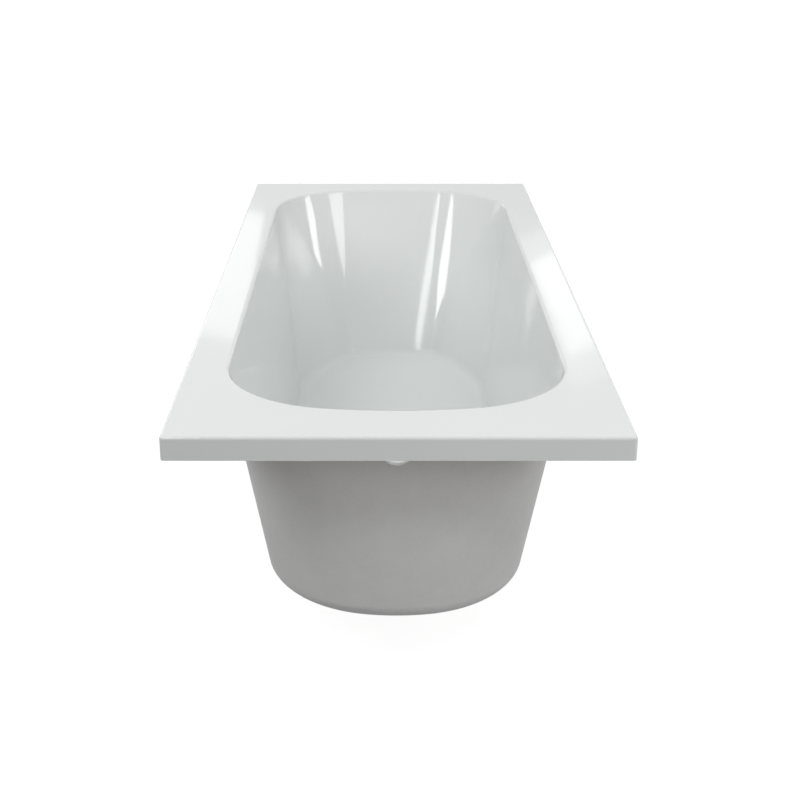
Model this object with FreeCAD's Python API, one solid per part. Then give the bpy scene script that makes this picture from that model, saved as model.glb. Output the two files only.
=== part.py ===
"""Alcove bathtub: a single-ended acrylic bath shell on two leg bars with four screw feet.

Millimetres. +X is to the right when seen from the foot (waste) end, +Y runs from the foot end to the
head end and +Z is up. The origin is on the floor, under the centre of the rim, with the feet wound
fully in. Every depth is measured down from the top of the rim.
"""

import FreeCAD, Part
import math
import os

# ---- driving dimensions ----

LENGTH = 1700.0
WIDTH = 700.0
RIM_HEIGHT = 480.0
SHELL_DEPTH = 392.0

ACRYLIC = 5.0
LAMINATE = 3.0

# rim
LIP_HEIGHT = 38.0
RIM_CORNER = 6.0
RIM_EDGE = 5.0
OPENING_ROLL = 6.0

# bathing well, measured on the face that holds the water
WELL_HALF_WIDTH = 279.0
FOOT_DECK = 106.0
HEAD_DECK = 84.0
SIDE_SLOPE = math.radians(9.8)
FOOT_SLOPE = math.radians(5.8)
HEAD_SLOPE = math.radians(24.6)
FLOOR_CORNER = 26.0

# each end of the well is a flat arc, then a shoulder arc, then a side arc
END_ANGLE = math.radians(10.0)
SHOULDER_ANGLE = math.radians(55.0)
FOOT_RADIUS = 196.0
HEAD_RADIUS = 190.0
HEAD_SHOULDER_AT_FLOOR = 52.0
HEAD_SIDE_AT_FLOOR = 500.0

# waste and overflow
DRAIN_HOLE_R = 26.0
OVERFLOW_DEPTH = 67.0
WASTE_FROM_FOOT = 255.0
WASTE_DISH_R = 44.0
WASTE_DISH_DEPTH = 4.0

# baseboard and rim battens
BOARD_THICK = 15.0
BOARD_HALF_WIDTH = 178.0
BOARD_FOOT_Y = -520.0
BOARD_HEAD_Y = 535.0
BOARD_CORNER = 25.0
BATTEN_THICK = 20.0
SIDE_BATTEN_WIDTH = 42.0
FOOT_BATTEN_WIDTH = 60.0
HEAD_BATTEN_WIDTH = 45.0
BATTEN_GAP = 3.0

# leg bars, top-hat section
BAR_FOOT_Y = -360.0
BAR_HEAD_Y = 430.0
BAR_HALF_LENGTH = 225.0
BAR_DEPTH = 30.0
BAR_CROWN = 34.0
BAR_BRIM = 18.0
BAR_STEEL = 2.5
BEND = 2.0
BAR_SCREW_X = (60.0, 150.0)

# screw feet, M12 with a 1.75 mm pitch
FOOT_X = 200.0
STUD_R = 6.0
THREAD_CLEARANCE = 0.05
STUD_HOLE_R = 6.75
STUD_TOP_GAP = 2.5
NUT_ACROSS_FLATS = 19.0
NUT_HEIGHT = 10.0
WASHER_R = 12.0
WASHER_THICK = 2.5
PAD_STOP_GAP = 0.5
PAD_R = 24.0
PAD_RIM_HEIGHT = 6.0
PAD_HUB_R = 12.0
PAD_SOCKET_FLOOR = 10.0
PAD_RIBS = 6
PAD_RIB_THICK = 3.0

# screws and wall brackets
SCREW_SHANK_R = 2.2
SCREW_HOLE_R = 2.5
SCREW_HEAD_R = 4.5
SCREW_HEAD_HEIGHT = 3.0
SCREW_LENGTH = 14.0
SCREW_IN_WOOD_GAP = 0.05
BRACKET_Y = 500.0
BRACKET_LENGTH = 45.0
BRACKET_FLANGE = 34.0
BRACKET_DROP = 36.0
BRACKET_STEEL = 2.5
BRACKET_CORNER = 5.0
BRACKET_SCREW_SPACING = 24.0
BRACKET_WALL_HOLE_R = 3.0
BRACKET_LIP_GAP = 0.5

# ---- heights and places worked out from them ----

DECK_UNDERSIDE = RIM_HEIGHT - ACRYLIC
BATTEN_TOP = DECK_UNDERSIDE - LAMINATE
BATTEN_BOTTOM = BATTEN_TOP - BATTEN_THICK
BOARD_TOP = RIM_HEIGHT - SHELL_DEPTH
BOARD_BOTTOM = BOARD_TOP - BOARD_THICK
BAR_BOTTOM = BOARD_BOTTOM - BAR_DEPTH
LOWER_NUT_TOP = BAR_BOTTOM - WASHER_THICK
PAD_HEIGHT = LOWER_NUT_TOP - NUT_HEIGHT - PAD_STOP_GAP
UPPER_WASHER_BOTTOM = BAR_BOTTOM + BAR_STEEL
UPPER_NUT_BOTTOM = UPPER_WASHER_BOTTOM + WASHER_THICK
STUD_TOP = BOARD_TOP - STUD_TOP_GAP
WASTE_Y = -LENGTH / 2 + WASTE_FROM_FOOT
LIP_INSIDE_X = WIDTH / 2 - ACRYLIC
LIP_INSIDE_Y = LENGTH / 2 - ACRYLIC

FEET = {
    "foot_left": (-FOOT_X, BAR_FOOT_Y),
    "foot_right": (FOOT_X, BAR_FOOT_Y),
    "head_left": (-FOOT_X, BAR_HEAD_Y),
    "head_right": (FOOT_X, BAR_HEAD_Y),
}

UP = FreeCAD.Vector(0, 0, 1)


# ---- small helpers ----


def box(x0, x1, y0, y1, z0, z1):
    return Part.makeBox(x1 - x0, y1 - y0, z1 - z0, FreeCAD.Vector(x0, y0, z0))


def rod(radius, x, y, z0, z1):
    return Part.makeCylinder(radius, z1 - z0, FreeCAD.Vector(x, y, z0), UP)


def hexagon(across_flats, x, y, z0, z1):
    radius = across_flats / math.sqrt(3.0)
    corners = [
        FreeCAD.Vector(x + radius * math.cos(k * math.pi / 3), y + radius * math.sin(k * math.pi / 3), z0)
        for k in range(6)
    ]
    face = Part.Face(Part.makePolygon(corners + corners[:1]))
    return face.extrude(UP * (z1 - z0))


def upright_edges(shape):
    """The straight edges of a shape that run along Z."""
    found = []
    for edge in shape.Edges:
        low = edge.BoundBox
        if low.ZLength > 1.0 and low.XLength < 1e-6 and low.YLength < 1e-6:
            found.append(edge)
    return found


def edges_at(shape, z):
    """The edges of a shape that lie in the level plane at z."""
    return [e for e in shape.Edges if abs(e.BoundBox.ZMin - z) < 1e-4 and abs(e.BoundBox.ZMax - z) < 1e-4]


def edges_near(shape, places, along):
    """The straight edges that run along X or Y through given places, each a pair of None or a value."""
    found = []
    for edge in shape.Edges:
        centre = edge.CenterOfMass
        size = edge.BoundBox
        length = size.XLength if along == "x" else size.YLength
        if size.DiagonalLength - length > 1e-6:
            continue
        across = centre.y if along == "x" else centre.x
        if any(abs(across - a) < 1e-4 and abs(centre.z - z) < 1e-4 for a, z in places):
            found.append(edge)
    return found


def save(name, shape):
    if not shape.isValid():
        raise ValueError(name + " is not a valid solid")
    shape.exportStep(os.path.join("parts", name + ".step"))


# ---- the well ----


def on_arc(centre, radius, angle, z):
    """A point of an arc, where angle is measured from +Y towards +X."""
    return FreeCAD.Vector(centre[0] + radius * math.sin(angle), centre[1] + radius * math.cos(angle), z)


def end_arcs(half_width, end_y, side_r, shoulder_r, z, towards):
    """One end of the well's outline, from its +X side to its -X side.

    towards is +1 at the head end and -1 at the foot end. Returns the arcs and the Y at which the
    straight sides start.
    """
    end_share = math.sin(END_ANGLE)
    shoulder_share = math.sin(SHOULDER_ANGLE) - end_share
    side_share = 1.0 - math.sin(SHOULDER_ANGLE)
    end_r = (half_width - side_r * side_share - shoulder_r * shoulder_share) / end_share
    end_centre = end_y * towards - end_r
    shoulder_x = (end_r - shoulder_r) * math.sin(END_ANGLE)
    shoulder_y = end_centre + (end_r - shoulder_r) * math.cos(END_ANGLE)
    side_x = half_width - side_r
    side_y = shoulder_y + (shoulder_r - side_r) * math.cos(SHOULDER_ANGLE)
    stages = [
        ((side_x, side_y), side_r, math.pi / 2, SHOULDER_ANGLE),
        ((shoulder_x, shoulder_y), shoulder_r, SHOULDER_ANGLE, END_ANGLE),
        ((0.0, end_centre), end_r, END_ANGLE, -END_ANGLE),
        ((-shoulder_x, shoulder_y), shoulder_r, -END_ANGLE, -SHOULDER_ANGLE),
        ((-side_x, side_y), side_r, -SHOULDER_ANGLE, -math.pi / 2),
    ]
    arcs = []
    for centre, radius, start, stop in stages:
        points = [on_arc(centre, radius, a, z) for a in (start, (start + stop) / 2, stop)]
        for point in points:
            point.y *= towards
        arcs.append(Part.Arc(*points).toShape())
    return arcs, side_y * towards


def well_outline(depth, out):
    """The well's outline at a depth, moved out by a wall thickness measured square to the wall."""
    z = RIM_HEIGHT - depth
    share = depth / SHELL_DEPTH
    half_width = WELL_HALF_WIDTH - depth * math.tan(SIDE_SLOPE) + out / math.cos(SIDE_SLOPE)
    foot_y = -LENGTH / 2 + FOOT_DECK + depth * math.tan(FOOT_SLOPE) - out / math.cos(FOOT_SLOPE)
    head_y = LENGTH / 2 - HEAD_DECK - depth * math.tan(HEAD_SLOPE) + out / math.cos(HEAD_SLOPE)
    head_side_r = HEAD_RADIUS + (HEAD_SIDE_AT_FLOOR - HEAD_RADIUS) * share + out
    head_shoulder_r = HEAD_RADIUS + (HEAD_SHOULDER_AT_FLOOR - HEAD_RADIUS) * share + out
    foot_r = FOOT_RADIUS + out
    head, head_side_y = end_arcs(half_width, head_y, head_side_r, head_shoulder_r, z, 1)
    foot, foot_side_y = end_arcs(half_width, foot_y, foot_r, foot_r, z, -1)
    left = Part.LineSegment(
        FreeCAD.Vector(-half_width, head_side_y, z), FreeCAD.Vector(-half_width, foot_side_y, z)
    ).toShape()
    right = Part.LineSegment(
        FreeCAD.Vector(half_width, foot_side_y, z), FreeCAD.Vector(half_width, head_side_y, z)
    ).toShape()
    return Part.Wire(head + [left] + foot[::-1] + [right])


def well_plug(top_depth, out):
    """The well as a solid, moved out by a wall thickness, with its floor corner rounded."""
    floor_depth = SHELL_DEPTH - ACRYLIC - LAMINATE + out
    floor_z = RIM_HEIGHT - floor_depth
    plug = Part.makeLoft([well_outline(top_depth, out), well_outline(floor_depth, out)], True, True)
    plug = plug.makeFillet(FLOOR_CORNER + out, edges_at(plug, floor_z))
    dish_r = WASTE_DISH_R + out
    dish = Part.makeCone(
        dish_r - WASTE_DISH_DEPTH,
        dish_r + WASTE_DISH_DEPTH,
        2 * WASTE_DISH_DEPTH,
        FreeCAD.Vector(0, WASTE_Y, floor_z - WASTE_DISH_DEPTH),
        UP,
    )
    return plug.fuse(dish)


def drain_holes():
    """The waste hole in the floor and the overflow hole square to the foot wall."""
    waste = rod(DRAIN_HOLE_R, 0, WASTE_Y, BOARD_TOP - 2 * ACRYLIC, BOARD_TOP + 4 * ACRYLIC)
    wall_y = -LENGTH / 2 + FOOT_DECK + OVERFLOW_DEPTH * math.tan(FOOT_SLOPE)
    outward = FreeCAD.Vector(0, -math.cos(FOOT_SLOPE), -math.sin(FOOT_SLOPE))
    start = FreeCAD.Vector(0, wall_y, RIM_HEIGHT - OVERFLOW_DEPTH) - outward * 4 * ACRYLIC
    overflow = Part.makeCylinder(DRAIN_HOLE_R, 8 * ACRYLIC, start, outward)
    return [waste, overflow]


def acrylic_shell(well, well_back):
    rim = box(-WIDTH / 2, WIDTH / 2, -LENGTH / 2, LENGTH / 2, RIM_HEIGHT - LIP_HEIGHT, RIM_HEIGHT)
    rim = rim.makeFillet(RIM_CORNER, upright_edges(rim))
    rim = rim.makeFillet(RIM_EDGE, edges_at(rim, RIM_HEIGHT))
    under = box(-LIP_INSIDE_X, LIP_INSIDE_X, -LIP_INSIDE_Y, LIP_INSIDE_Y, 0, DECK_UNDERSIDE)
    shell = rim.cut(under).fuse(well_back).cut(well)
    opening = [e for e in edges_at(shell, RIM_HEIGHT) if e.BoundBox.XMax < LIP_INSIDE_X - ACRYLIC
               and e.BoundBox.XMin > ACRYLIC - LIP_INSIDE_X and abs(e.CenterOfMass.y) < LIP_INSIDE_Y - ACRYLIC]
    shell = shell.makeFillet(OPENING_ROLL, opening)
    return shell.cut(drain_holes())


def laminate(well_back, laminate_back):
    """The glass-fibre layer on the back of the well and under the deck."""
    flange = box(-LIP_INSIDE_X, LIP_INSIDE_X, -LIP_INSIDE_Y, LIP_INSIDE_Y, BATTEN_TOP, DECK_UNDERSIDE)
    return flange.fuse(laminate_back).cut([well_back] + drain_holes())


# ---- timber ----


def baseboard():
    board = box(-BOARD_HALF_WIDTH, BOARD_HALF_WIDTH, BOARD_FOOT_Y, BOARD_HEAD_Y, BOARD_BOTTOM, BOARD_TOP)
    board = board.makeFillet(BOARD_CORNER, upright_edges(board))
    pilots = []
    for x, y in bar_screw_places():
        pilots.append(rod(SCREW_SHANK_R + SCREW_IN_WOOD_GAP, x, y, BOARD_BOTTOM, BOARD_TOP))
    return board.cut(pilots)


def side_batten(side):
    outer = LIP_INSIDE_X - BATTEN_GAP
    inner = outer - SIDE_BATTEN_WIDTH
    end = LIP_INSIDE_Y - BATTEN_GAP
    x0, x1 = sorted((side * inner, side * outer))
    batten = box(x0, x1, -end, end, BATTEN_BOTTOM, BATTEN_TOP)
    pilots = []
    for x, y in bracket_screw_places():
        pilots.append(rod(SCREW_SHANK_R + SCREW_IN_WOOD_GAP, x, y, BATTEN_BOTTOM, BATTEN_TOP))
    return batten.cut(pilots)


def end_batten(towards, width):
    outer = LIP_INSIDE_Y - BATTEN_GAP
    half_length = LIP_INSIDE_X - 2 * BATTEN_GAP - SIDE_BATTEN_WIDTH
    y0, y1 = sorted((towards * outer, towards * (outer - width)))
    return box(-half_length, half_length, y0, y1, BATTEN_BOTTOM, BATTEN_TOP)


# ---- leg bars ----


def bar_screw_places():
    """Where the screws go up through the brims of both leg bars."""
    brim_middle = BAR_CROWN / 2 + BAR_BRIM / 2
    places = []
    for bar_y in (BAR_FOOT_Y, BAR_HEAD_Y):
        for x in BAR_SCREW_X:
            for side in (-1, 1):
                places.append((x * side, bar_y - brim_middle))
                places.append((x * side, bar_y + brim_middle))
    return places


def leg_bar(bar_y):
    """A top-hat bar: crown at the bottom for the feet, brims at the top against the board."""
    half = BAR_CROWN / 2
    brim = half + BAR_BRIM
    steel = BAR_STEEL
    top = BOARD_BOTTOM
    section = [
        (-brim, top), (-half + steel, top), (-half + steel, BAR_BOTTOM + steel),
        (half - steel, BAR_BOTTOM + steel), (half - steel, top), (brim, top),
        (brim, top - steel), (half, top - steel), (half, BAR_BOTTOM),
        (-half, BAR_BOTTOM), (-half, top - steel), (-brim, top - steel),
    ]
    corners = [FreeCAD.Vector(-BAR_HALF_LENGTH, bar_y + y, z) for y, z in section]
    bar = Part.Face(Part.makePolygon(corners + corners[:1])).extrude(FreeCAD.Vector(2 * BAR_HALF_LENGTH, 0, 0))
    hollow = []
    crest = []
    for side in (-1, 1):
        hollow += [(bar_y + side * (half - steel), BAR_BOTTOM + steel), (bar_y + side * half, top - steel)]
        crest += [(bar_y + side * (half - steel), top), (bar_y + side * half, BAR_BOTTOM)]
    bar = bar.makeFillet(BEND, edges_near(bar, hollow, "x"))
    bar = bar.makeFillet(BEND + steel, edges_near(bar, crest, "x"))
    holes = [rod(STUD_HOLE_R, x, bar_y, BAR_BOTTOM, UPPER_WASHER_BOTTOM) for x in (-FOOT_X, FOOT_X)]
    for x, y in bar_screw_places():
        holes.append(rod(SCREW_HOLE_R, x, y, top - steel, top))
    return bar.cut(holes)


def screw(x, y, seat_z):
    """A pan-head wood screw driven up through steel that ends at seat_z."""
    head = rod(SCREW_HEAD_R, x, y, seat_z - SCREW_HEAD_HEIGHT, seat_z)
    head = head.makeFillet(SCREW_HEAD_HEIGHT / 2, edges_at(head, seat_z - SCREW_HEAD_HEIGHT))
    return head.fuse(rod(SCREW_SHANK_R, x, y, seat_z, seat_z - SCREW_HEAD_HEIGHT + SCREW_LENGTH))


# ---- feet ----


def foot_pad(x, y):
    """A moulded foot: a round base, a hub with a blind socket and ribs between them."""
    foot = rod(PAD_R, x, y, 0, PAD_RIM_HEIGHT)
    foot = foot.makeFillet(PAD_RIM_HEIGHT / 3, edges_at(foot, PAD_RIM_HEIGHT))
    foot = foot.fuse(rod(PAD_HUB_R, x, y, 0, PAD_HEIGHT))
    reach = PAD_R - PAD_RIM_HEIGHT / 3
    for k in range(PAD_RIBS):
        half = PAD_RIB_THICK / 2
        profile = [
            FreeCAD.Vector(0, -half, PAD_RIM_HEIGHT / 2),
            FreeCAD.Vector(reach, -half, PAD_RIM_HEIGHT / 2),
            FreeCAD.Vector(reach, -half, PAD_RIM_HEIGHT),
            FreeCAD.Vector(PAD_HUB_R, -half, PAD_HEIGHT - PAD_RIM_HEIGHT),
            FreeCAD.Vector(0, -half, PAD_HEIGHT - PAD_RIM_HEIGHT),
        ]
        rib = Part.Face(Part.makePolygon(profile + profile[:1])).extrude(FreeCAD.Vector(0, PAD_RIB_THICK, 0))
        rib.rotate(FreeCAD.Vector(0, 0, 0), UP, 360.0 * k / PAD_RIBS)
        rib.translate(FreeCAD.Vector(x, y, 0))
        foot = foot.fuse(rib)
    foot = foot.removeSplitter()
    return foot.cut(rod(STUD_R + THREAD_CLEARANCE, x, y, PAD_SOCKET_FLOOR, PAD_HEIGHT))


def foot_stud(x, y):
    stud = rod(STUD_R, x, y, PAD_SOCKET_FLOOR, STUD_TOP)
    return stud.makeChamfer(STUD_R / 5, edges_at(stud, STUD_TOP))


def nut(x, y, bottom):
    blank = hexagon(NUT_ACROSS_FLATS, x, y, bottom, bottom + NUT_HEIGHT)
    return blank.cut(rod(STUD_R + THREAD_CLEARANCE, x, y, bottom, bottom + NUT_HEIGHT))


def washer(x, y, bottom):
    ring = rod(WASHER_R, x, y, bottom, bottom + WASHER_THICK)
    return ring.cut(rod(STUD_HOLE_R, x, y, bottom, bottom + WASHER_THICK))


# ---- wall brackets ----


def bracket_screw_places():
    middle = LIP_INSIDE_X - BRACKET_LIP_GAP - BRACKET_FLANGE / 2
    places = []
    for side in (-1, 1):
        for y in (-BRACKET_Y, BRACKET_Y):
            places.append((side * middle, y - BRACKET_SCREW_SPACING / 2))
            places.append((side * middle, y + BRACKET_SCREW_SPACING / 2))
    return places


def wall_bracket(side, y):
    """An angle under the side batten, with a hole that faces the wall."""
    outer = LIP_INSIDE_X - BRACKET_LIP_GAP
    y0 = y - BRACKET_LENGTH / 2
    y1 = y + BRACKET_LENGTH / 2
    top = BATTEN_BOTTOM
    drop = top - BRACKET_DROP
    flange_x = sorted((side * (outer - BRACKET_FLANGE), side * outer))
    leg_x = sorted((side * (outer - BRACKET_STEEL), side * outer))
    angle = box(*flange_x, y0, y1, top - BRACKET_STEEL, top).fuse(box(*leg_x, y0, y1, drop, top))
    angle = angle.removeSplitter()
    hollow = [(side * (outer - BRACKET_STEEL), top - BRACKET_STEEL)]
    angle = angle.makeFillet(BEND, edges_near(angle, hollow, "y"))
    angle = angle.makeFillet(BEND + BRACKET_STEEL, edges_near(angle, [(side * outer, top)], "y"))
    tips = [e for e in upright_edges(angle) if abs(e.CenterOfMass.x - side * (outer - BRACKET_FLANGE)) < 1e-4]
    tips += [e for e in edges_at(angle, drop) if e.BoundBox.YLength < 1e-6]
    angle = angle.makeFillet(BRACKET_CORNER, tips)
    holes = [rod(SCREW_HOLE_R, x, hole_y, top - BRACKET_STEEL, top) for x, hole_y in bracket_screw_places()]
    wall_hole = Part.makeCylinder(
        BRACKET_WALL_HOLE_R, 2 * BRACKET_STEEL,
        FreeCAD.Vector(side * (outer - 1.5 * BRACKET_STEEL), y, wall_hole_z()), FreeCAD.Vector(side, 0, 0),
    )
    return angle.cut(holes + [wall_hole])


def wall_hole_z():
    """Below the lip, where a screwdriver reaches the bracket."""
    return BATTEN_BOTTOM - BRACKET_DROP + 3 * BRACKET_WALL_HOLE_R


# ---- the nodes ----


def main():
    os.makedirs("parts", exist_ok=True)
    over_rim = -4 * ACRYLIC
    well = well_plug(over_rim, 0.0)
    well_back = well_plug(ACRYLIC / 2, ACRYLIC)
    laminate_back = well_plug(ACRYLIC + LAMINATE / 2, ACRYLIC + LAMINATE)
    save("acrylic_shell", acrylic_shell(well, well_back))
    save("glass_fibre_laminate", laminate(well_back, laminate_back))
    save("baseboard", baseboard())
    save("rim_batten_left", side_batten(-1))
    save("rim_batten_right", side_batten(1))
    save("rim_batten_foot", end_batten(-1, FOOT_BATTEN_WIDTH))
    save("rim_batten_head", end_batten(1, HEAD_BATTEN_WIDTH))
    save("leg_bar_foot", leg_bar(BAR_FOOT_Y))
    save("leg_bar_head", leg_bar(BAR_HEAD_Y))
    save("leg_bar_screws", Part.makeCompound(
        [screw(x, y, BOARD_BOTTOM - BAR_STEEL) for x, y in bar_screw_places()]))
    save("wall_brackets", Part.makeCompound(
        [wall_bracket(side, y) for side in (-1, 1) for y in (-BRACKET_Y, BRACKET_Y)]))
    save("wall_bracket_screws", Part.makeCompound(
        [screw(x, y, BATTEN_BOTTOM - BRACKET_STEEL) for x, y in bracket_screw_places()]))
    washers = []
    for name, (x, y) in FEET.items():
        save("foot_pad_" + name, foot_pad(x, y))
        save("foot_stud_" + name, foot_stud(x, y))
        save("adjusting_nuts_" + name, Part.makeCompound(
            [nut(x, y, UPPER_NUT_BOTTOM), nut(x, y, LOWER_NUT_TOP - NUT_HEIGHT)]))
        washers.append(washer(x, y, UPPER_WASHER_BOTTOM))
        washers.append(washer(x, y, LOWER_NUT_TOP))
    save("leg_bar_washers", Part.makeCompound(washers))


main()
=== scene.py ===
"""Alcove bathtub: the modelled pieces, finishes and stage, laid out as an add-on.

Metres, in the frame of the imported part: +X to the right seen from the foot end, +Y towards the head
end, +Z up, origin on the floor. Depths are measured down from the top of the rim.
"""

import math

import bmesh
import bpy
from bpy.props import FloatProperty, FloatVectorProperty, IntProperty, PointerProperty
from bpy.types import Operator, Panel, PropertyGroup
from mathutils import Matrix, Vector


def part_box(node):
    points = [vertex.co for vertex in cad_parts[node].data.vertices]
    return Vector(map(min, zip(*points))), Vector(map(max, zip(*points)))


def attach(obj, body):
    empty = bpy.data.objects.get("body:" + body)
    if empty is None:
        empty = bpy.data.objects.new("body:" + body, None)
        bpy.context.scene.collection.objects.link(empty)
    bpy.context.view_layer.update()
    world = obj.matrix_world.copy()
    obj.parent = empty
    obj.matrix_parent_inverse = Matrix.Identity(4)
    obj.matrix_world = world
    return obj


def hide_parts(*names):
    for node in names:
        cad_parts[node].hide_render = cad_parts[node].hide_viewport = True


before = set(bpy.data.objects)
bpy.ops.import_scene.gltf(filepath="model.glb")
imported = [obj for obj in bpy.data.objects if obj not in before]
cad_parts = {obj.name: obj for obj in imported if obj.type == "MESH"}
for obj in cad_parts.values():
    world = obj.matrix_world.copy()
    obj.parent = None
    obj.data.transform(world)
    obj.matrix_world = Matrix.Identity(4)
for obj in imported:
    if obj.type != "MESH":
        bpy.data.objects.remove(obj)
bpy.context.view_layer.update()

bl_info = {
    "name": "Alcove bathtub",
    "version": (1, 0, 0),
    "blender": (4, 5, 0),
    "location": "View3D > Sidebar > Bathtub",
    "description": "Models an acrylic alcove bathtub around its packed frame",
    "category": "Object",
}

MM = 0.001
GUARD = 1.0 * MM  # strip of flat deck kept beside each rolled edge
UP = Vector((0, 0, 1))
WHITE = (1.0, 1.0, 1.0, 1.0)

# ---- places read from the frame ----

SHELL_LOW, SHELL_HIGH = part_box("acrylic_shell")
LAMINATE_LOW, LAMINATE_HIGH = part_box("glass_fibre_laminate")
RIM_TOP = SHELL_HIGH.z
HALF_WIDTH = SHELL_HIGH.x
HALF_LENGTH = SHELL_HIGH.y
FEET = ("foot_left", "foot_right", "head_left", "head_right")


# ---- settings ----


def millimetres(name, description, default):
    return FloatProperty(name=name, description=description, default=default * MM, unit="LENGTH", precision=4)


def degrees(name, description, default):
    return FloatProperty(name=name, description=description, default=math.radians(default), unit="ROTATION")


def tint(name, description, default):
    return FloatVectorProperty(name=name, description=description, default=default, size=3, subtype="COLOR",
                               min=0.0, max=1.0)


def brightness(name, description, default):
    """A light's brightness, where 1 is the white of the background."""
    return FloatProperty(name=name, description=description, default=default, min=0.0)


class BathShellSettings(PropertyGroup):
    """Sizes of the formed shell, the same as the solids'."""

    sheet: millimetres("Sheet", "Thickness of the acrylic sheet", 5.0)
    laminate: millimetres("Laminate", "Thickness of the glass-fibre backing", 3.0)
    depth: millimetres("Depth", "From the rim top to the underside of the backed floor", 392.0)
    lip: millimetres("Lip", "Height of the lip round the rim", 38.0)
    rim_corner: millimetres("Rim corner", "Radius of the rim's corners in plan", 6.0)
    rim_edge: millimetres("Rim edge", "Radius of the rim's top edge", 5.0)
    opening_roll: millimetres("Opening roll", "Radius where the deck turns down into the well", 6.0)
    floor_corner: millimetres("Floor corner", "Radius between the well's wall and its floor", 26.0)
    half_width: millimetres("Half width", "Half the well's width at the rim", 279.0)
    foot_deck: millimetres("Foot deck", "Width of the deck at the foot end", 106.0)
    head_deck: millimetres("Head deck", "Width of the deck at the head end", 84.0)
    side_slope: degrees("Side slope", "Lean of the side walls from upright", 9.8)
    foot_slope: degrees("Foot slope", "Lean of the foot wall from upright", 5.8)
    head_slope: degrees("Head slope", "Lean of the backrest from upright", 24.6)
    end_angle: degrees("End angle", "Half the turn of the flat arc at each end", 10.0)
    shoulder_angle: degrees("Shoulder angle", "Where each corner's shoulder arc meets its side arc", 55.0)
    foot_radius: millimetres("Foot radius", "Corner radius at the foot end", 196.0)
    head_radius: millimetres("Head radius", "Corner radius at the head end, at the rim", 190.0)
    head_shoulder: millimetres("Head shoulder", "Shoulder radius at the head end, at the floor", 52.0)
    head_side: millimetres("Head side", "Side radius at the head end, at the floor", 500.0)
    drain_hole: millimetres("Drain hole", "Radius of the waste and overflow holes", 26.0)
    overflow_depth: millimetres("Overflow depth", "Depth of the overflow hole's centre", 67.0)
    waste_from_foot: millimetres("Waste", "From the rim's foot edge to the waste hole", 255.0)
    dish_radius: millimetres("Dish radius", "Radius of the dish round the waste hole", 44.0)
    dish_depth: millimetres("Dish depth", "Depth of the dish round the waste hole", 4.0)
    arc_steps: IntProperty(name="Arc steps", description="Faces along each arc of the outline", default=20)
    wall_steps: IntProperty(name="Wall steps", description="Faces down the well's wall", default=40)
    roll_steps: IntProperty(name="Roll steps", description="Faces round each rolled edge", default=8)


class BathFrameSettings(PropertyGroup):
    """Sizes of the timber, steel and plastic parts under the shell, the same as the solids'."""

    timber_ease: millimetres("Timber ease", "Rounding of the battens' long edges", 1.2)
    board_ease: millimetres("Board ease", "Rounding of the baseboard's edges", 0.8)
    board_corner: millimetres("Board corner", "Radius of the baseboard's corners in plan", 25.0)
    pilot: millimetres("Pilot", "Radius of the screw holes in the timber", 2.25)
    steel: millimetres("Steel", "Thickness of the bars' and brackets' steel", 2.5)
    bend: millimetres("Bend", "Inner radius of the steel's bends", 2.0)
    bar_crown: millimetres("Bar crown", "Width of a leg bar's crown", 34.0)
    bar_brim: millimetres("Bar brim", "Width of each brim of a leg bar", 18.0)
    bracket_length: millimetres("Bracket length", "Length of each wall bracket along the bath", 45.0)
    bracket_flange: millimetres("Bracket flange", "Width of a bracket's flange under the batten", 34.0)
    bracket_corner: millimetres("Bracket corner", "Radius of a bracket's free corners", 5.0)
    stud_hole: millimetres("Stud hole", "Radius of the holes for the studs", 6.75)
    screw_hole: millimetres("Screw hole", "Radius of the screw holes in the steel", 2.5)
    wall_hole: millimetres("Wall hole", "Radius of a bracket's hole for the wall screw", 3.0)
    wall_hole_up: millimetres("Wall hole height", "From a bracket's lower edge to its wall hole", 9.0)
    stud: millimetres("Stud", "Outer radius of the studs' thread", 6.0)
    thread_gap: millimetres("Thread gap", "Room between the studs and what they go through", 0.05)
    pitch: millimetres("Pitch", "Pitch of the studs' thread", 1.75)
    across_flats: millimetres("Across flats", "Width of the nuts across two flats", 19.0)
    nut_height: millimetres("Nut height", "Height of the nuts", 10.0)
    washer: millimetres("Washer", "Outer radius of the washers", 12.0)
    washer_thick: millimetres("Washer thickness", "Thickness of the washers", 2.5)
    pad: millimetres("Pad", "Radius of the feet", 24.0)
    pad_rim: millimetres("Pad rim", "Height of the feet's round base", 6.0)
    pad_hub: millimetres("Pad hub", "Radius of the feet's hub", 12.0)
    pad_socket: millimetres("Pad socket", "Height of the floor of the feet's socket", 10.0)
    pad_rib: millimetres("Pad rib", "Thickness of the feet's ribs", 3.0)
    pad_ribs: IntProperty(name="Pad ribs", description="Number of ribs on each foot", default=6)
    screw_head: millimetres("Screw head", "Radius of the screws' heads", 4.5)
    screw_head_height: millimetres("Head height", "Height of the screws' heads", 3.0)
    screw_shank: millimetres("Screw shank", "Radius of the screws' shanks", 2.2)
    screw_length: millimetres("Screw length", "Whole length of the screws", 14.0)


class BathFinishSettings(PropertyGroup):
    """Colours of the finishes."""

    acrylic: tint("Acrylic", "White of the sheet", (0.786, 0.807, 0.800))
    laminate: tint("Laminate", "Pale grey of the glass-fibre backing", (0.79, 0.79, 0.785))
    timber: tint("Timber", "Sawn softwood", (0.68, 0.51, 0.32))
    chipboard: tint("Chipboard", "Bare chipboard", (0.50, 0.36, 0.21))
    zinc: tint("Zinc", "Zinc-plated steel", (0.62, 0.63, 0.64))
    plastic: tint("Plastic", "Moulded black plastic", (0.022, 0.022, 0.024))


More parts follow.
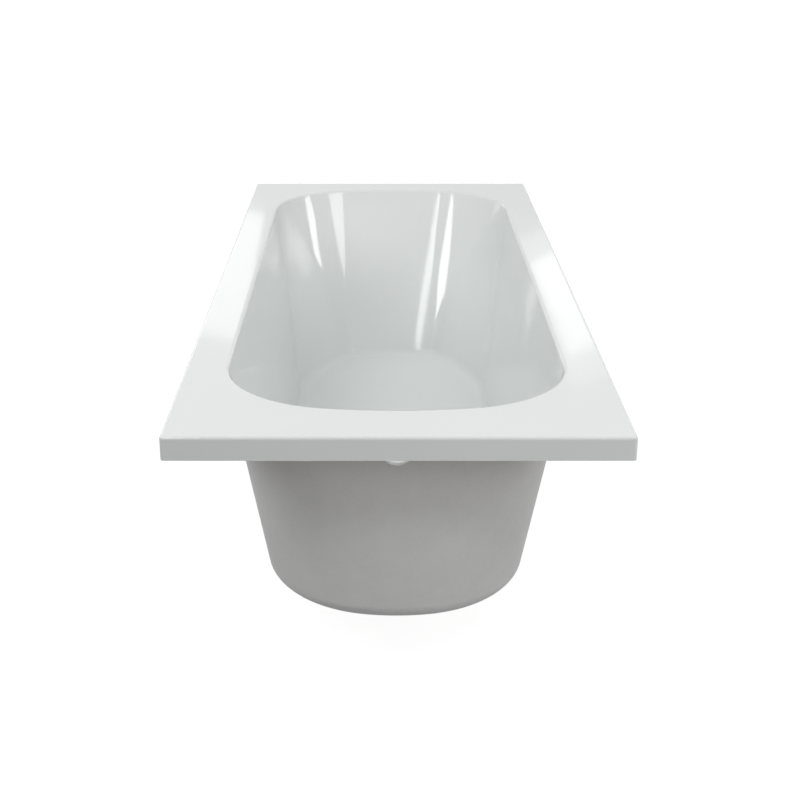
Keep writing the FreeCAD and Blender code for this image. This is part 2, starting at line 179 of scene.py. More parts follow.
class BathStageSettings(PropertyGroup):
    """Camera, floor and lights."""

    camera_back: millimetres("Camera back", "Camera's distance from the centre", 2664.1)
    camera_side: millimetres("Camera side", "Camera's place to the side", -27.1)
    camera_over_rim: millimetres("Camera over rim", "Camera's height above the rim", 772.3)
    camera_dip: degrees("Camera dip", "How far the camera looks down", 21.494)
    lens: FloatProperty(name="Lens", description="Focal length in millimetres", default=60.93)
    shift: FloatProperty(name="Shift", description="Sideways lens shift", default=0.0249)
    floor_drop: millimetres("Floor drop", "Floor below the wound-in feet, for winding them out", 25.2)
    daylight: brightness("Daylight", "The even light all round, where it isn't seen or mirrored", 0.14)
    floor_bounce: brightness("Floor bounce", "Share of light that the floor throws back", 0.3)
    floor_glow: brightness("Floor glow", "The floor's own white", 1.16)
    key: brightness("Key", "The soft key light in front", 14.2)
    rear_left: brightness("Rear left", "The fill light high at the rear left", 6.4)
    overhead: brightness("Overhead", "The fill light high over the head end", 2.8)
    front: brightness("Front", "The fill light low in front", 1.5)
    front_right: brightness("Front right", "The fill light low on the front right", 2.9)
    round_box: brightness("Round box", "The round softbox", 5.0)
    strip: brightness("Strip", "The narrow strip light", 7.5)
    square_box: brightness("Square box", "The square softbox", 9.0)
    edge: brightness("Edge", "The strip light on the far right", 8.0)
    back_left: brightness("Back left", "The wide light behind the head end", 0.8)
    back_soft: brightness("Back soft", "The dim border of the small light behind the head end", 0.35)
    back_right: brightness("Back right", "The small light behind the head end", 0.8)


# ---- editing helpers ----


def deselect_all():
    if bpy.context.mode != "OBJECT":
        bpy.ops.object.mode_set(mode="OBJECT")
    bpy.ops.object.select_all(action="DESELECT")


def choose(piece):
    """Selects one piece alone and makes it active."""
    deselect_all()
    piece.select_set(True)
    bpy.context.view_layer.objects.active = piece


def apply_modifier(piece, kind, **settings):
    choose(piece)
    bpy.ops.object.modifier_add(type=kind)
    modifier = piece.modifiers[-1]
    for key, value in settings.items():
        setattr(modifier, key, value)
    bpy.ops.object.modifier_apply(modifier=modifier.name)


def apply_place(piece):
    choose(piece)
    bpy.ops.object.transform_apply(location=True, rotation=True, scale=True)


def join(name, pieces):
    choose(pieces[0])
    for piece in pieces[1:]:
        piece.select_set(True)
    if len(pieces) > 1:
        bpy.ops.object.join()
    whole = bpy.context.active_object
    whole.name = whole.data.name = name
    return whole


def edit_whole(piece, *steps):
    """Runs mesh operators, each with its settings, on everything in a piece."""
    choose(piece)
    bpy.ops.object.mode_set(mode="EDIT")
    bpy.ops.mesh.select_all(action="SELECT")
    for operator, settings in steps:
        operator(**settings)
    bpy.ops.object.mode_set(mode="OBJECT")


def merge_doubles(piece, distance=0.02 * MM):
    edit_whole(piece, (bpy.ops.mesh.remove_doubles, {"threshold": distance}))


def clear_slivers(piece, distance=0.015 * MM):
    """Takes out the faces without area that a cut can leave."""
    edit_whole(piece, (bpy.ops.mesh.dissolve_degenerate, {"threshold": distance}))


def face_outwards(piece):
    edit_whole(piece, (bpy.ops.mesh.normals_make_consistent, {"inside": False}))


def smooth(piece, angle=35.0):
    choose(piece)
    bpy.ops.object.shade_smooth_by_angle(angle=math.radians(angle))
    apply_modifier(piece, "WEIGHTED_NORMAL", keep_sharp=True, weight=100, mode="FACE_AREA_WITH_ANGLE")


def finish_piece(piece, material, body, slot, *nodes):
    """Gives a finished piece its material and its body, and hides the CAD nodes that it stands for."""
    piece.data.materials.clear()
    piece.data.materials.append(material)
    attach(piece, body)
    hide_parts(*nodes)
    return piece


def start_ring(name, points):
    """A circle of as many vertices as there are points, set on those points."""
    deselect_all()
    bpy.ops.mesh.primitive_circle_add(vertices=len(points), radius=1.0, fill_type="NOTHING")
    piece = bpy.context.active_object
    piece.name = piece.data.name = name
    piece.matrix_world = Matrix.Identity(4)
    for vertex, point in zip(piece.data.vertices, points):
        vertex.co = point
    return piece


def extrude_rings(piece, rings):
    """Extrudes a start ring once for each further ring, and sets the new vertices on its points."""
    choose(piece)
    bpy.ops.object.mode_set(mode="EDIT")
    bpy.ops.mesh.select_mode(type="VERT")
    bpy.ops.mesh.select_all(action="SELECT")
    last = list(range(len(rings[0])))
    for points in rings:
        count = len(bmesh.from_edit_mesh(piece.data).verts)
        bpy.ops.mesh.extrude_edges_move()
        mesh = bmesh.from_edit_mesh(piece.data)
        mesh.verts.ensure_lookup_table()
        new = []
        for index, point in zip(last, points):
            old = mesh.verts[index]
            twin = next(e.other_vert(old) for e in old.link_edges if e.other_vert(old).index >= count)
            twin.co = point
            new.append(twin.index)
        last = new
    bmesh.update_edit_mesh(piece.data)
    bpy.ops.object.mode_set(mode="OBJECT")
    return piece


def fill_at(piece, height, slack=0.01 * MM):
    """Fills the flat region between the open edges that lie at a height."""
    choose(piece)
    bpy.ops.object.mode_set(mode="EDIT")
    bpy.ops.mesh.select_mode(type="EDGE")
    bpy.ops.mesh.select_all(action="DESELECT")
    mesh = bmesh.from_edit_mesh(piece.data)
    for edge in mesh.edges:
        heights = [v.co.z for v in edge.verts]
        open_edge = edge.is_boundary or edge.is_wire
        edge.select_set(open_edge and min(heights) >= height - slack and max(heights) <= height + slack)
    bmesh.update_edit_mesh(piece.data)
    bpy.ops.mesh.fill(use_beauty=True)
    bpy.ops.object.mode_set(mode="OBJECT")


# ---- the well's shape ----


def arc_angles(stages, steps):
    """Angles along the stages of an end, from the end's own direction, each shared angle once."""
    angles = []
    for number, (start, stop) in enumerate(stages):
        first = 0 if number == 0 else 1
        angles += [(number, start + (stop - start) * k / steps) for k in range(first, steps + 1)]
    return angles


def end_outline(s, half_width, end_y, side_r, shoulder_r, towards):
    """One end of the well's outline from +X to -X: a list of (x, y, normal x, normal y)."""
    end_share = math.sin(s.end_angle)
    shoulder_share = math.sin(s.shoulder_angle) - end_share
    side_share = 1.0 - math.sin(s.shoulder_angle)
    end_r = (half_width - side_r * side_share - shoulder_r * shoulder_share) / end_share
    end_centre = end_y * towards - end_r
    shoulder_x = (end_r - shoulder_r) * math.sin(s.end_angle)
    shoulder_y = end_centre + (end_r - shoulder_r) * math.cos(s.end_angle)
    side_x = half_width - side_r
    side_y = shoulder_y + (shoulder_r - side_r) * math.cos(s.shoulder_angle)
    centres = [(side_x, side_y, side_r), (shoulder_x, shoulder_y, shoulder_r), (0.0, end_centre, end_r),
               (-shoulder_x, shoulder_y, shoulder_r), (-side_x, side_y, side_r)]
    quarter = math.pi / 2
    stages = [(quarter, s.shoulder_angle), (s.shoulder_angle, s.end_angle), (s.end_angle, -s.end_angle),
              (-s.end_angle, -s.shoulder_angle), (-s.shoulder_angle, -quarter)]
    outline = []
    for number, angle in arc_angles(stages, s.arc_steps):
        x, y, radius = centres[number]
        nx, ny = math.sin(angle), math.cos(angle)
        outline.append((x + radius * nx, (y + radius * ny) * towards, nx, ny * towards))
    return outline


def well_outline(s, depth, out):
    """The well's outline at a depth, moved out by a wall thickness measured square to the wall."""
    share = depth / s.depth
    half_width = s.half_width - depth * math.tan(s.side_slope) + out / math.cos(s.side_slope)
    foot_y = -HALF_LENGTH + s.foot_deck + depth * math.tan(s.foot_slope) - out / math.cos(s.foot_slope)
    head_y = HALF_LENGTH - s.head_deck - depth * math.tan(s.head_slope) + out / math.cos(s.head_slope)
    side_r = s.head_radius + (s.head_side - s.head_radius) * share + out
    shoulder_r = s.head_radius + (s.head_shoulder - s.head_radius) * share + out
    head = end_outline(s, half_width, head_y, side_r, shoulder_r, 1)
    foot = end_outline(s, half_width, foot_y, s.foot_radius + out, s.foot_radius + out, -1)[::-1]
    return head + straight(head[-1], foot[0], s.arc_steps) + foot + straight(foot[-1], head[0], s.arc_steps)


def straight(start, stop, steps):
    """Points between two outline points that share a normal, both left out."""
    between = []
    for k in range(1, steps):
        share = k / steps
        between.append(tuple(a + (b - a) * share for a, b in zip(start, stop)))
    return between


def well_slopes(s, out):
    """How far the wall leans at each outline point, from the outlines at the rim and the floor."""
    top = well_outline(s, 0.0, out)
    low = well_outline(s, s.depth, out)
    leans = []
    for a, b in zip(top, low):
        inward = (a[0] - b[0]) * a[2] + (a[1] - b[1]) * a[3]
        leans.append(math.atan2(inward, s.depth))
    return leans


def well_ring(s, out, leans, profile):
    """A ring round the well. profile(lean) gives (depth, distance out from the rim-level wall line)."""
    ring = []
    outlines = {}
    for index, lean in enumerate(leans):
        depth, away = profile(lean)
        key = round(depth, 7)
        if key not in outlines:
            outlines[key] = well_outline(s, depth, out)
        x, y, nx, ny = outlines[key][index]
        shift = away + depth * math.tan(lean)
        ring.append(Vector((x + nx * shift, y + ny * shift, RIM_TOP - depth)))
    return ring


def roll_profile(s, share):
    """The convex roll from the deck to the wall, share from 0 on the deck to 1 on the wall."""
    radius = s.opening_roll

    def profile(lean):
        turn = (math.pi / 2 - lean) * share
        start = radius * math.tan((math.pi / 2 - lean) / 2)
        return radius * (1 - math.cos(turn)), start - radius * math.sin(turn)

    return profile


def flat_profile(s):
    """The deck just outside the roll."""
    return lambda lean: (0.0, s.opening_roll * math.tan((math.pi / 2 - lean) / 2) + GUARD)


def floor_profile(radius, floor_depth, share):
    """The hollow corner from the wall to the floor, share from 0 on the wall to 1 on the floor."""

    def profile(lean):
        turn = (math.pi / 2 - lean) * (1 - share)
        reach = radius * math.tan((math.pi / 2 - lean) / 2)
        depth = floor_depth - radius * (1 - math.cos(turn))
        return depth, radius * math.sin(turn) - reach - floor_depth * math.tan(lean)

    return profile


def wall_profile(start_depth, floor_depth, radius, share):
    """The straight wall, share from 0 at start_depth to 1 where the floor corner begins."""

    def profile(lean):
        stop = floor_depth - radius * (1 - math.sin(lean))
        begin = start_depth(lean)
        depth = begin + (stop - begin) * share
        return depth, -depth * math.tan(lean)

    return profile


def roll_end(s):
    """Depth at which the opening roll meets the wall, for a wall's lean."""
    return lambda lean: s.opening_roll * (1 - math.sin(lean))


def rim_ring(s, inset, z, steps=6, least_radius=0.5 * MM):
    """A ring round the rim, drawn in by an inset, at a height."""
    half_x = HALF_WIDTH - inset
    half_y = HALF_LENGTH - inset
    radius = max(s.rim_corner - inset, least_radius)
    points = []
    for quarter in range(4):
        sign_x = (1, -1, -1, 1)[quarter]
        sign_y = (1, 1, -1, -1)[quarter]
        for k in range(steps + 1):
            angle = (quarter + k / steps) * math.pi / 2
            points.append(Vector((sign_x * (half_x - radius) + radius * math.cos(angle),
                                  sign_y * (half_y - radius) + radius * math.sin(angle), z)))
    return points


def circle_ring(radius, x, y, z, steps=64):
    angles = [2 * math.pi * k / steps for k in range(steps)]
    return [Vector((x + radius * math.cos(angle), y + radius * math.sin(angle), z)) for angle in angles]


def dish_rings(s, out, floor_z):
    """The shallow dish round the waste hole, from the floor down to the hole's edge."""
    y = s.waste_from_foot - HALF_LENGTH
    outer = s.dish_radius + out
    bottom = floor_z - s.dish_depth
    soft = 1.2 * MM
    sag, lead = 0.15 * soft, 0.2 * soft
    return [
        circle_ring(outer + 2 * soft, 0, y, floor_z),
        circle_ring(outer + soft, 0, y, floor_z - sag),
        circle_ring(outer - lead, 0, y, floor_z - soft),
        circle_ring(outer - s.dish_depth + lead, 0, y, bottom + soft),
        circle_ring(outer - s.dish_depth - soft, 0, y, bottom + sag),
        circle_ring(outer - s.dish_depth - 2 * soft, 0, y, bottom),
        circle_ring(s.drain_hole, 0, y, bottom),
    ]


def well_sheet(s, name, out, first_rings):
    """An open sheet from its first rings down the wall and over the floor to the waste hole's edge."""
    leans = well_slopes(s, out)
    floor_depth = s.depth - s.sheet - s.laminate + out
    radius = s.floor_corner + out
    begin = roll_end(s) if out == 0 else (lambda lean: s.sheet)
    rings = [well_ring(s, out, leans, p) for p in first_rings]
    steps = s.wall_steps
    rings += [well_ring(s, out, leans, wall_profile(begin, floor_depth, radius, k / steps))
              for k in range(0 if out else 1, steps + 1)]
    rings += [well_ring(s, out, leans, floor_profile(radius, floor_depth, k / (2 * s.roll_steps)))
              for k in range(1, 2 * s.roll_steps + 1)]
    well = extrude_rings(start_ring(name, rings[0]), rings[1:])
    floor_z = RIM_TOP - floor_depth
    dish = dish_rings(s, out, floor_z)
    dish_piece = extrude_rings(start_ring(name + "_dish", dish[0]), dish[1:])
    sheet = join(name, [well, dish_piece])
    fill_at(sheet, floor_z)
    return sheet


def cut_hole(piece, radius, start, direction, length):
    """Cuts a round hole through a piece with a cylinder along a direction."""
    deselect_all()
    bpy.ops.mesh.primitive_cylinder_add(vertices=96, radius=radius, depth=length)
    cutter = bpy.context.active_object
    turn = UP.rotation_difference(direction).to_matrix().to_4x4()
    cutter.matrix_world = Matrix.Translation(start) @ turn
    apply_place(cutter)
    apply_modifier(piece, "BOOLEAN", operation="DIFFERENCE", solver="EXACT", object=cutter)
    choose(cutter)
    bpy.ops.object.delete()


def cut_overflow(s, piece, length=60 * MM):
    """Cuts the overflow hole square through the foot wall, with a cutter of a length."""
    wall_y = -HALF_LENGTH + s.foot_deck + s.overflow_depth * math.tan(s.foot_slope)
    outward = Vector((0, -math.cos(s.foot_slope), -math.sin(s.foot_slope)))
    cut_hole(piece, s.drain_hole, Vector((0, wall_y, RIM_TOP - s.overflow_depth)), outward, length)


def thicken(sheet, thickness):
    """Gives an open sheet its thickness, behind its faces."""
    apply_modifier(sheet, "SOLIDIFY", thickness=thickness, offset=-1.0, use_even_offset=True,
                   use_quality_normals=True)


def build_acrylic_shell(s):
    steps = s.roll_steps
    edge = s.rim_edge
    lip_rings = [rim_ring(s, 0.0, RIM_TOP - s.lip), rim_ring(s, 0.0, RIM_TOP - s.lip / 2)]
    for k in range(steps + 1):
        turn = math.pi / 2 * k / steps
        lip_rings.append(rim_ring(s, edge * (1 - math.cos(turn)), RIM_TOP - edge * (1 - math.sin(turn))))
    lip_rings.append(rim_ring(s, edge + GUARD, RIM_TOP))
    lip = extrude_rings(start_ring("rim", lip_rings[0]), lip_rings[1:])
    rolls = [flat_profile(s)] + [roll_profile(s, k / steps) for k in range(steps + 1)]
    well = well_sheet(s, "well", 0.0, rolls)
    shell = join("bath_shell", [lip, well])
    fill_at(shell, RIM_TOP)
    merge_doubles(shell)
    point_up(shell)
    thicken(shell, s.sheet)
    merge_doubles(shell, 0.05 * MM)
    cut_overflow(s, shell)
    smooth(shell)
    return shell


def point_up(piece):
    """Turns an open sheet so that its faces look up and into the well."""
    face_outwards(piece)
    highest = max(piece.data.polygons, key=lambda face: (round(face.center.z, 5), face.area))
    if highest.normal.z < 0:
        edit_whole(piece, (bpy.ops.mesh.flip_normals, {}))


def build_laminate(s):
    """The backing: a flange under the deck, the back of the well and its floor."""
    top = RIM_TOP - s.sheet
    flange = start_ring("flange", rim_ring(s, s.sheet, top))
    well = well_sheet(s, "back", s.sheet, [])
    back = join("laminate_backing", [flange, well])
    fill_at(back, top)
    merge_doubles(back)
    point_up(back)
    thicken(back, s.laminate)
    cut_overflow(s, back)
    smooth(back)
    return back


# ---- parts under the shell ----


def middle(node):
    low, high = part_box(node)
    return (Vector(low) + Vector(high)) / 2


def rounded_outline(corners, steps=5):
    """A closed outline from (a, b, radius) corners, each rounded by its radius."""
    points = []
    for index, (a, b, radius) in enumerate(corners):
        here = Vector((a, b))
        if radius == 0:
            points.append(here)
            continue
        before = (Vector(corners[index - 1][:2]) - here).normalized()
        after = (Vector(corners[(index + 1) % len(corners)][:2]) - here).normalized()
        half = before.angle(after) / 2
        centre = here + (before + after).normalized() * (radius / math.sin(half))
        start = here + before * (radius / math.tan(half)) - centre
        stop = here + after * (radius / math.tan(half)) - centre
        for k in range(steps + 1):
            points.append(centre + start.lerp(stop, k / steps).normalized() * radius)
    return points


def close_ends(piece):
    edit_whole(piece, (bpy.ops.mesh.fill_holes, {"sides": 0}),
               (bpy.ops.mesh.normals_make_consistent, {"inside": False}))


def solid_of(name, rings):
    """A closed solid from rings that lie one after the other."""
    piece = extrude_rings(start_ring(name, rings[0]), rings[1:])
    close_ends(piece)
    return piece


def turned(name, profile, x=0.0, y=0.0, steps=48):
    """A solid turned about Z from (radius, height) points, closed at both ends of the profile."""
    return solid_of(name, [circle_ring(radius, x, y, z, steps) for radius, z in profile])


def turned_ring(name, profile, steps=48):
    """A ring turned about Z from a closed profile of (radius, height) points."""
    rings = [circle_ring(radius, 0, 0, z, steps) for radius, z in [*profile, profile[0]]]
    piece = extrude_rings(start_ring(name, rings[0]), rings[1:])
    merge_doubles(piece, 0.01 * MM)
    face_outwards(piece)
    return piece


def combine(piece, other, operation):
    """Adds, cuts or keeps what a piece shares with another, which is used up."""
    apply_modifier(piece, "BOOLEAN", operation=operation, solver="EXACT", object=other)
    choose(other)
    bpy.ops.object.delete()


def copies(piece, places):
    """Copies a piece to each place, with its own mesh; the piece itself is used up."""
    made = []
    for place in places:
        choose(piece)
        bpy.ops.object.duplicate()
        copy = bpy.context.active_object
        copy.location = place
        apply_place(copy)
        made.append(copy)
    choose(piece)
    bpy.ops.object.delete()
    return made


def ease_edges(piece, width, segments=2):
    apply_modifier(piece, "BEVEL", width=width, segments=segments, limit_method="ANGLE",
                   angle_limit=math.radians(40), use_clamp_overlap=True)


def board_between(name, low, high, ease, corner=0.0):
    """A board that fills a box, with eased edges and, if wanted, round corners in plan."""
    outline = rounded_outline([(low.x, low.y, corner), (high.x, low.y, corner), (high.x, high.y, corner),
                               (low.x, high.y, corner)], 8)
    rings = [[Vector((a, b, z)) for a, b in outline] for z in (low.z, high.z)]
    board = solid_of(name, rings)
    ease_edges(board, ease)
    return board


def screw_places(node, seat_z, apart=10 * MM):
    """Where the screws of a node stand, from the CAD mesh: the centre of each head below the seat."""
    found = []
    for vertex in bpy.data.objects[node].data.vertices:
        if vertex.co.z > seat_z:
            continue
        near = next((group for group in found if (group[0] - vertex.co.xy).length < apart), None)
        if near is None:
            found.append([vertex.co.xy.copy()])
        else:
            near.append(vertex.co.xy.copy())
    places = []
    for group in found:
        xs = [p.x for p in group]
        ys = [p.y for p in group]
        places.append(Vector(((min(xs) + max(xs)) / 2, (min(ys) + max(ys)) / 2)))
    return sorted(places, key=lambda p: (round(p.x, 4), round(p.y, 4)))


def build_screw(s):
    """A pan-head screw with a cross recess, its seat at z = 0 and its point up."""
    head, height, shank = s.screw_head, s.screw_head_height, s.screw_shank
    length = s.screw_length - height
    flat, shoulder, dome, dome_steps = head * 0.35, head * 0.65, height * 0.62, 6
    edge, point = 0.15 * MM, 2.5 * shank
    profile = [(flat, -height)]
    for k in range(1, dome_steps + 1):
        turn = math.radians(90) * k / dome_steps
        profile.append((flat + shoulder * math.sin(turn), -height + dome * (1 - math.cos(turn))))
    profile += [(head, -edge), (head - edge, 0.0), (shank, 0.0), (shank, length - point), (edge, length)]
    screw = turned("screw", profile, steps=32)
    wide, thin, deep = 2.3 * MM, 0.42 * MM, 1.9 * MM
    above, narrowing, thinning = 0.3, 0.62, 0.35
    for turn in (0, math.pi / 2):
        rings = []
        for share in (-above, 1.0):
            half_a = wide * (1 - narrowing * max(share, 0.0))
            half_b = thin * (1 - thinning * max(share, 0.0))
            z = -height + deep * share
            slot = [Vector((half_a, half_b, z)), Vector((-half_a, half_b, z)), Vector((-half_a, -half_b, z)),
                    Vector((half_a, -half_b, z))]
            rings.append([Matrix.Rotation(turn, 3, "Z") @ p for p in slot])
        combine(screw, solid_of("recess", rings), "DIFFERENCE")
    return screw


def place_screws(s, name, node, seat_z):
    places = [Vector((p.x, p.y, seat_z)) for p in screw_places(node, seat_z)]
    screws = join(name, copies(build_screw(s), places))
    smooth(screws, 40)
    return screws


def build_leg_bar(s, name, screws):
    """A top-hat bar with bent corners, punched for the studs and the screws."""
    low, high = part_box(name)
    y = middle(name).y
    half, steel = s.bar_crown / 2, s.steel
    brim = half + s.bar_brim
    inner, outer, edge = s.bend, s.bend + steel, 0.4 * MM
    top, bottom = high.z, low.z
    corners = [
        (-brim, top, edge), (-half + steel, top, outer), (-half + steel, bottom + steel, inner),
        (half - steel, bottom + steel, inner), (half - steel, top, outer), (brim, top, edge),
        (brim, top - steel, edge), (half, top - steel, inner), (half, bottom, outer),
        (-half, bottom, outer), (-half, top - steel, inner), (-brim, top - steel, edge),
    ]
    outline = rounded_outline(corners)
    rings = [[Vector((x, y + a, b)) for a, b in outline] for x in (low.x, high.x)]
    bar = solid_of(name + "_steel", rings)
    for foot in FEET:
        centre = middle("foot_stud_" + foot)
        if abs(centre.y - y) < brim:
            cut_hole(bar, s.stud_hole, Vector((centre.x, centre.y, bottom)), UP, 4 * steel)
    for place in screws:
        if abs(place.y - y) < brim:
            cut_hole(bar, s.screw_hole, Vector((place.x, place.y, top)), UP, 4 * steel)
    smooth(bar)
    return bar


def build_bracket(s, side, middle_y, low, high, screws):
    """An angle bent from strip, its corners rounded, with two screw holes and one wall hole."""
    outer = high.x if side > 0 else -low.x
    half = s.bracket_length / 2
    tip = outer - s.bracket_flange
    steel, inner, corner, spare = s.steel, s.bend, s.bracket_corner, 1.0 * MM
    angle = [(tip - spare, high.z, 0), (outer, high.z, inner + steel), (outer, low.z - spare, 0),
             (outer - steel, low.z - spare, 0), (outer - steel, high.z - steel, inner),
             (tip - spare, high.z - steel, 0)]
    angle_rings = [[Vector((side * a, middle_y + along, b)) for a, b in rounded_outline(angle)]
                   for along in (-half - spare, half + spare)]
    bracket = solid_of("bracket", angle_rings)
    plan = [(tip, -half, corner), (outer + spare, -half, 0), (outer + spare, half, 0), (tip, half, corner)]
    plan_rings = [[Vector((side * a, middle_y + b, z)) for a, b in rounded_outline(plan)]
                  for z in (low.z - 3 * spare, high.z + spare)]
    combine(bracket, solid_of("plan", plan_rings), "INTERSECT")
    front = [(-half, low.z, corner), (half, low.z, corner), (half, high.z + spare, 0),
             (-half, high.z + spare, 0)]
    front_rings = [[Vector((side * x, middle_y + a, b)) for a, b in rounded_outline(front)]
                   for x in (tip - 3 * spare, outer + spare)]
    combine(bracket, solid_of("front", front_rings), "INTERSECT")
    for place in screws:
        if abs(place.y - middle_y) < half and place.x * side > 0:
            cut_hole(bracket, s.screw_hole, Vector((place.x, place.y, high.z)), UP, 4 * steel)
    cut_hole(bracket, s.wall_hole, Vector((side * (outer - steel / 2), middle_y, low.z + s.wall_hole_up)),
             Vector((1, 0, 0)), 4 * steel)
    return bracket


def build_stud(s, low_z, high_z):
    """A threaded rod: a core and a thread that winds round it, standing on z = low_z."""
    crest, pitch, steps = s.stud - 0.01 * MM, s.pitch, 24
    depth = 0.5413 * pitch  # five eighths of the height of a 60 degree thread's triangle
    root = crest - depth
    chamfer = s.stud / 5
    rod = [(root - chamfer / 2, low_z), (root, low_z + chamfer / 2), (root, high_z - chamfer / 4),
           (root - chamfer / 4, high_z)]
    core = turned("stud", rod, steps=steps)
    flank = depth * math.tan(math.radians(30))
    inside, flat, overlap = root - 0.2 * MM, pitch / 16, 0.1 * MM
    section = [(inside, -flank - flat - overlap), (inside, flank + flat + overlap), (crest, flat),
               (crest, -flat)]
    start_z = low_z + pitch
    thread = start_ring("thread", [Vector((r, 0, start_z + z)) for r, z in section])
    turns = int((high_z - low_z) / pitch) - 2
    apply_modifier(thread, "SCREW", axis="Z", angle=2 * math.pi, screw_offset=pitch, iterations=turns,
                   steps=steps, render_steps=steps, use_merge_vertices=False)
    close_ends(thread)
    top_z = start_z + turns * pitch
    run_out, blunt_end = pitch * 0.6, 0.15
    for vertex in thread.data.vertices:
        reach = vertex.co.xy.length
        if reach < root:
            continue
        left = min(vertex.co.z - start_z, top_z - vertex.co.z) / run_out
        wanted = min(reach, root + depth * max(0.0, min(1.0, left + blunt_end)))
        vertex.co.x *= wanted / reach
        vertex.co.y *= wanted / reach
    return join("stud", [core, thread])


def build_nut(s):
    """A hexagon nut standing on z = 0, its corners turned off and its bore countersunk."""
    height = s.nut_height
    flat = s.across_flats / 2
    corner = flat / math.cos(math.pi / 6)
    angles = [k * math.pi / 3 for k in range(6)]
    hexagon = [[Vector((corner * math.cos(a), corner * math.sin(a), z)) for a in angles]
               for z in (0.0, height)]
    nut = solid_of("nut", hexagon)
    face, over = flat - 0.3 * MM, corner + 0.2 * MM
    rise = (corner - flat + 0.5 * MM) * math.tan(math.radians(30))
    blank = turned("blank", [(face, 0.0), (over, rise), (over, height - rise), (face, height)], steps=72)
    combine(nut, blank, "INTERSECT")
    sink, clear = 0.7 * MM, 0.5 * MM
    bore = s.stud + s.thread_gap
    mouth = bore + sink
    hole = [(mouth + clear, -clear), (mouth, 0.0), (bore, sink), (bore, height - sink), (mouth, height),
            (mouth + clear, height + clear)]
    combine(nut, turned("cutter", hole), "DIFFERENCE")
    clear_slivers(nut)
    return nut


def build_pad(s, height):
    """A moulded foot standing on z = 0: base, hub with a blind socket, and ribs between them."""
    soft = s.pad_rim / 3
    base, hub = s.pad, s.pad_hub
    bore = s.stud + s.thread_gap
    chamfer, hub_chamfer, mouth, round_steps = 1.0 * MM, 0.8 * MM, 0.4 * MM, 4
    profile = [(base - chamfer, 0.0), (base, chamfer), (base, s.pad_rim - soft)]
    for k in range(1, round_steps + 1):
        turn = math.radians(90) * k / round_steps
        profile.append((base - soft * (1 - math.cos(turn)), s.pad_rim - soft * (1 - math.sin(turn))))
    profile += [(hub + chamfer, s.pad_rim), (hub, s.pad_rim + chamfer), (hub, height - hub_chamfer),
                (hub - hub_chamfer, height), (bore + mouth, height), (bore, height - mouth),
                (bore, s.pad_socket)]
    foot = turned("foot", profile, steps=64)
    half = s.pad_rib / 2
    top = height - s.pad_rim
    reach, inside = base - soft, hub - 2.0 * MM
    side = [(inside, s.pad_rim / 2), (reach, s.pad_rim / 2), (reach, s.pad_rim), (hub, top), (inside, top)]
    for k in range(s.pad_ribs):
        turn = Matrix.Rotation(2 * math.pi * k / s.pad_ribs, 3, "Z")
        rib = solid_of("rib", [[turn @ Vector((r, along, z)) for r, z in side] for along in (-half, half)])
        combine(foot, rib, "UNION")
    return foot


# ---- shader writing ----


class Value:
    """A shader socket for arithmetic in Python: each operator adds a Math node."""

    def __init__(self, shader, socket):
        self.shader = shader
        self.socket = socket

    def __add__(self, other):
        return self.shader.maths("ADD", self, other)

    def __sub__(self, other):
        return self.shader.maths("SUBTRACT", self, other)

    def __mul__(self, other):
        return self.shader.maths("MULTIPLY", self, other)

    def __truediv__(self, other):
        return self.shader.maths("DIVIDE", self, other)

    def __radd__(self, other):
        return self.shader.maths("ADD", other, self)

    def clipped(self):
        return self.shader.node("ShaderNodeClamp", {}, {"Value": self})["Result"]


class Outputs:
    """A node's outputs by name, each as a Value."""

    def __init__(self, shader, node):
        self.shader = shader
        self.node = node

    def __getitem__(self, name):
        return Value(self.shader, self.node.outputs[name])


